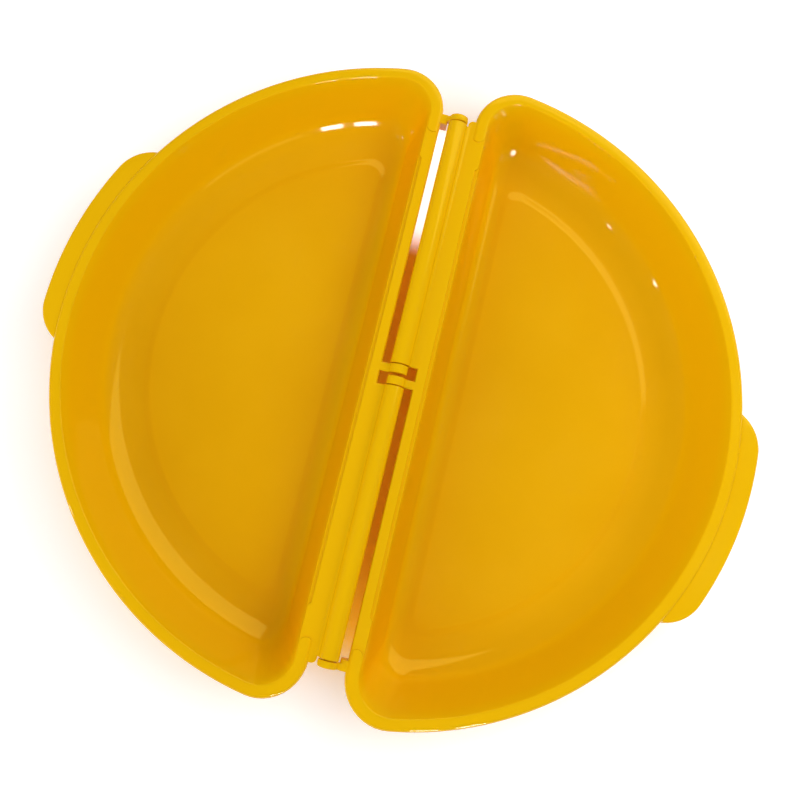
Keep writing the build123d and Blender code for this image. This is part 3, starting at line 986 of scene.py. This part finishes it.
# %% The table
TABLE_LIT = 0.85
TABLE_SEEN = 1.35

bpy.ops.mesh.primitive_plane_add(size=6)
table = bpy.context.object
table.name = "table"
white = bpy.data.materials.new("white_table")
white.use_nodes = True
cover = white.node_tree
paper = fill(cover, cover.nodes["Principled BSDF"], Roughness=0.9, Emission_Color=(1, 1, 1, 1))
ray = cover.nodes.new("ShaderNodeLightPath")
seen = Term(cover, ray.outputs["Is Camera Ray"])
for kind in ("Is Glossy Ray", "Is Transmission Ray"):
    seen = seen.maths("MAXIMUM", Term(cover, ray.outputs[kind]))
brightness = between(seen, 0.0, 1.0, TABLE_LIT, TABLE_SEEN)
print("table:", TABLE_LIT, "to the light,", TABLE_SEEN, "to the eye")

# %% [markdown]
# ## Painted light between the walls
# Where the table is nearly closed in, as in the slit between the trays, an orange glow is painted into its
# colour, the light of the yellow walls round it. A painted stripe would look the same in every pose. Ambient
# Occlusion measures how open a spot is, so with it the painted glow follows the trays. A closed maker still
# has a band of it, in the shade beside the lower tray's wall. The open upper end of the slit is plain white,
# as it is in the photograph: white light is painted there on the table, in the slit's shade. That patch
# belongs to the table, so it stays in place when a tray folds away.

# %% Painted light at the open end of the slit
SLIT_SIDE = (0.014, 0.020)
OPENING_STARTS = (0.047, 0.060)
OPENING_ENDS = (0.092, 0.100)


def soft_step(term, low, high):
    """0 before low, 1 after high, and soft between."""
    return between(term, low, high, kind="SMOOTHSTEP")


table_place = cover.nodes.new("ShaderNodeTexCoord").outputs["Object"]
across_table, along_table, _ = split(cover, table_place)
near_slit = 1.0 - soft_step(across_table.maths("ABSOLUTE"), *SLIT_SIDE)
open_end_painted_light = soft_step(along_table, *OPENING_STARTS) * (1.0 - soft_step(along_table, *OPENING_ENDS))
# Painted light: white emission on the table, seen by the camera and in reflections, lights the shade at the
# slit's upper end
fill(cover, paper, Emission_Strength=open_end_painted_light * near_slit * seen)
print("the slit's upper end is white from", OPENING_STARTS[1], "to", OPENING_ENDS[0], "m along the hinge")

# %% Painted glow in the slit
AO_REACH = 0.035
CLOSED_IN = (0.25, 0.55)
# Painted light: the slit's orange glow, as changes to the table's red, green and blue
SLIT_PAINTED_GLOW = {"Red": 0.25, "Green": -0.16, "Blue": -0.97}

openness = add(cover, "ShaderNodeAmbientOcclusion", Distance=AO_REACH)
closed_in = 1.0 - soft_step(Term(cover, openness.outputs["AO"]), *CLOSED_IN)
painted_glow_share = closed_in * near_slit * seen
# Painted light: where the table is closed in, its colour is turned orange, as lit by the yellow walls
channels = {channel: brightness * (1.0 + painted_glow_share * change) for channel, change in SLIT_PAINTED_GLOW.items()}
fill(cover, paper, Base_Color=add(cover, "ShaderNodeCombineColor", **channels).outputs[0])
table.data.materials.append(white)
print("table material:", len(cover.nodes), "nodes")

# %% [markdown]
# ## The light
# Soft daylight from the near left and from above, a side light and an even sky give every colour about the
# value that is written in its node. These lamps aren't seen in the gloss. The second kind of lamp is seen
# only there: two window panes, a curtain, a far window, a gap of a door, a small lamp and a pale wall give
# the reflections that the photograph shows, and add no light to the colours. The sky is dimmer in
# reflections than it is for light, because the room over the trays was dark.

# %% The sky
SKY_LIGHT = 0.40
SKY_IN_GLOSS = 0.05

world = bpy.data.worlds.new("room")
bpy.context.scene.world = world
world.use_nodes = True
air = world.node_tree
in_gloss = Term(air, air.nodes.new("ShaderNodeLightPath").outputs["Is Glossy Ray"])
fill(air, air.nodes["Background"], Color=(1, 1, 1, 1),
     Strength=between(in_gloss, 0.0, 1.0, SKY_LIGHT, SKY_IN_GLOSS))
print("sky:", SKY_LIGHT, "as light,", SKY_IN_GLOSS, "in the gloss")


# %% A lamp that faces the object
def lamp(name, azimuth, rise, distance, size, radiance, colour, in_gloss):
    """A rectangular lamp that faces the object. It is seen only in the gloss, or everywhere but there."""
    flat = cos(radians(rise))
    way = Vector((cos(radians(azimuth)) * flat, sin(radians(azimuth)) * flat, sin(radians(rise))))
    light = bpy.data.lights.new(name, "AREA")
    light.shape = "RECTANGLE"
    light.size, light.size_y = size
    light.color = colour
    light.energy = pi * size[0] * size[1] * radiance
    holder = bpy.data.objects.new(name, light)
    bpy.context.scene.collection.objects.link(holder)
    holder.location = way * distance
    holder.rotation_euler = (-way).to_track_quat("-Z", "Y").to_euler()
    holder.visible_camera = False
    holder.visible_diffuse = not in_gloss
    holder.visible_glossy = in_gloss
    print(name, "radiance", radiance, "in the gloss" if in_gloss else "for the colours")


print("radiance 1 is white")

# %% The lamps of the room
WHITE = (1.0, 1.0, 1.0)
STRAW = (1.0, 0.82, 0.12)
# Name, azimuth and rise in degrees, distance, size, radiance and colour
GLINTS = [
    ("window_left_pane", -63.5, 19, 2.0, (0.18, 0.5), 32, WHITE),
    ("window_right_pane", -72.0, 19, 2.0, (0.18, 0.5), 32, WHITE),
    ("curtain", -42, 24, 2.0, (0.9, 0.3), 1.6, STRAW),
    ("far_window", -119, 20, 2.0, (0.28, 0.05), 7, STRAW),
    ("door_gap", -150, 20, 2.0, (0.05, 0.3), 26, WHITE),
    ("small_lamp", -133, 39, 2.0, (0.05, 0.05), 60, WHITE),
    ("pale_wall", 66, 35, 0.9, (1.1, 0.8), 3.0, STRAW),
]
SOFT_LIGHT = [
    ("daylight", -140, 28, 1.2, (1.6, 0.9), 1.6, WHITE),
    ("side_light", 24, 46, 0.44, (0.42, 0.24), 1.8, WHITE),
    ("ceiling_light", 30, 68, 1.5, (1.5, 1.5), 0.85, WHITE),
]

for spec in GLINTS:
    lamp(*spec, in_gloss=True)
for spec in SOFT_LIGHT:
    lamp(*spec, in_gloss=False)

# %% [markdown]
# ## The camera
# It looks down on the trays from the near side, turned by 14 degrees. Its place and lens were found by
# fitting the outline of the trays to the photograph.

# %% The camera
EYE = Vector((3.1333, -47.5384, 328.3803)) * MM
TARGET = Vector((-7.9435, 16.4084, 24.15)) * MM
CAMERA_ROLL = 0.2425

ahead = (TARGET - EYE).normalized()
level = ahead.cross(Vector((0, 1, 0))).normalized()
upright = level.cross(ahead)
right = cos(CAMERA_ROLL) * level + sin(CAMERA_ROLL) * upright
up = cos(CAMERA_ROLL) * upright - sin(CAMERA_ROLL) * level
lens = bpy.data.cameras.new("camera")
lens.lens = 42.698
lens.sensor_width = 36
lens.shift_x = 0.01845
lens.shift_y = -0.0980
camera = bpy.data.objects.new("camera", lens)
bpy.context.scene.collection.objects.link(camera)
camera.matrix_world = Matrix((
    (right.x, up.x, -ahead.x, EYE.x),
    (right.y, up.y, -ahead.y, EYE.y),
    (right.z, up.z, -ahead.z, EYE.z),
    (0, 0, 0, 1),
))
bpy.context.scene.camera = camera
bpy.context.scene.view_settings.view_transform = "Standard"
print("camera", [round(c / MM) for c in EYE], "mm, lens", round(lens.lens, 1), "mm")

# %% [markdown]
# ## Inside the imported model's box
# The visual model is made to stay inside the box of the imported model. The rim's radius is 0.03 mm and the
# barrel's 0.005 mm smaller than in the imported model, because the packed model's round surfaces are cut
# into flat facets, which pulls its box in a little.
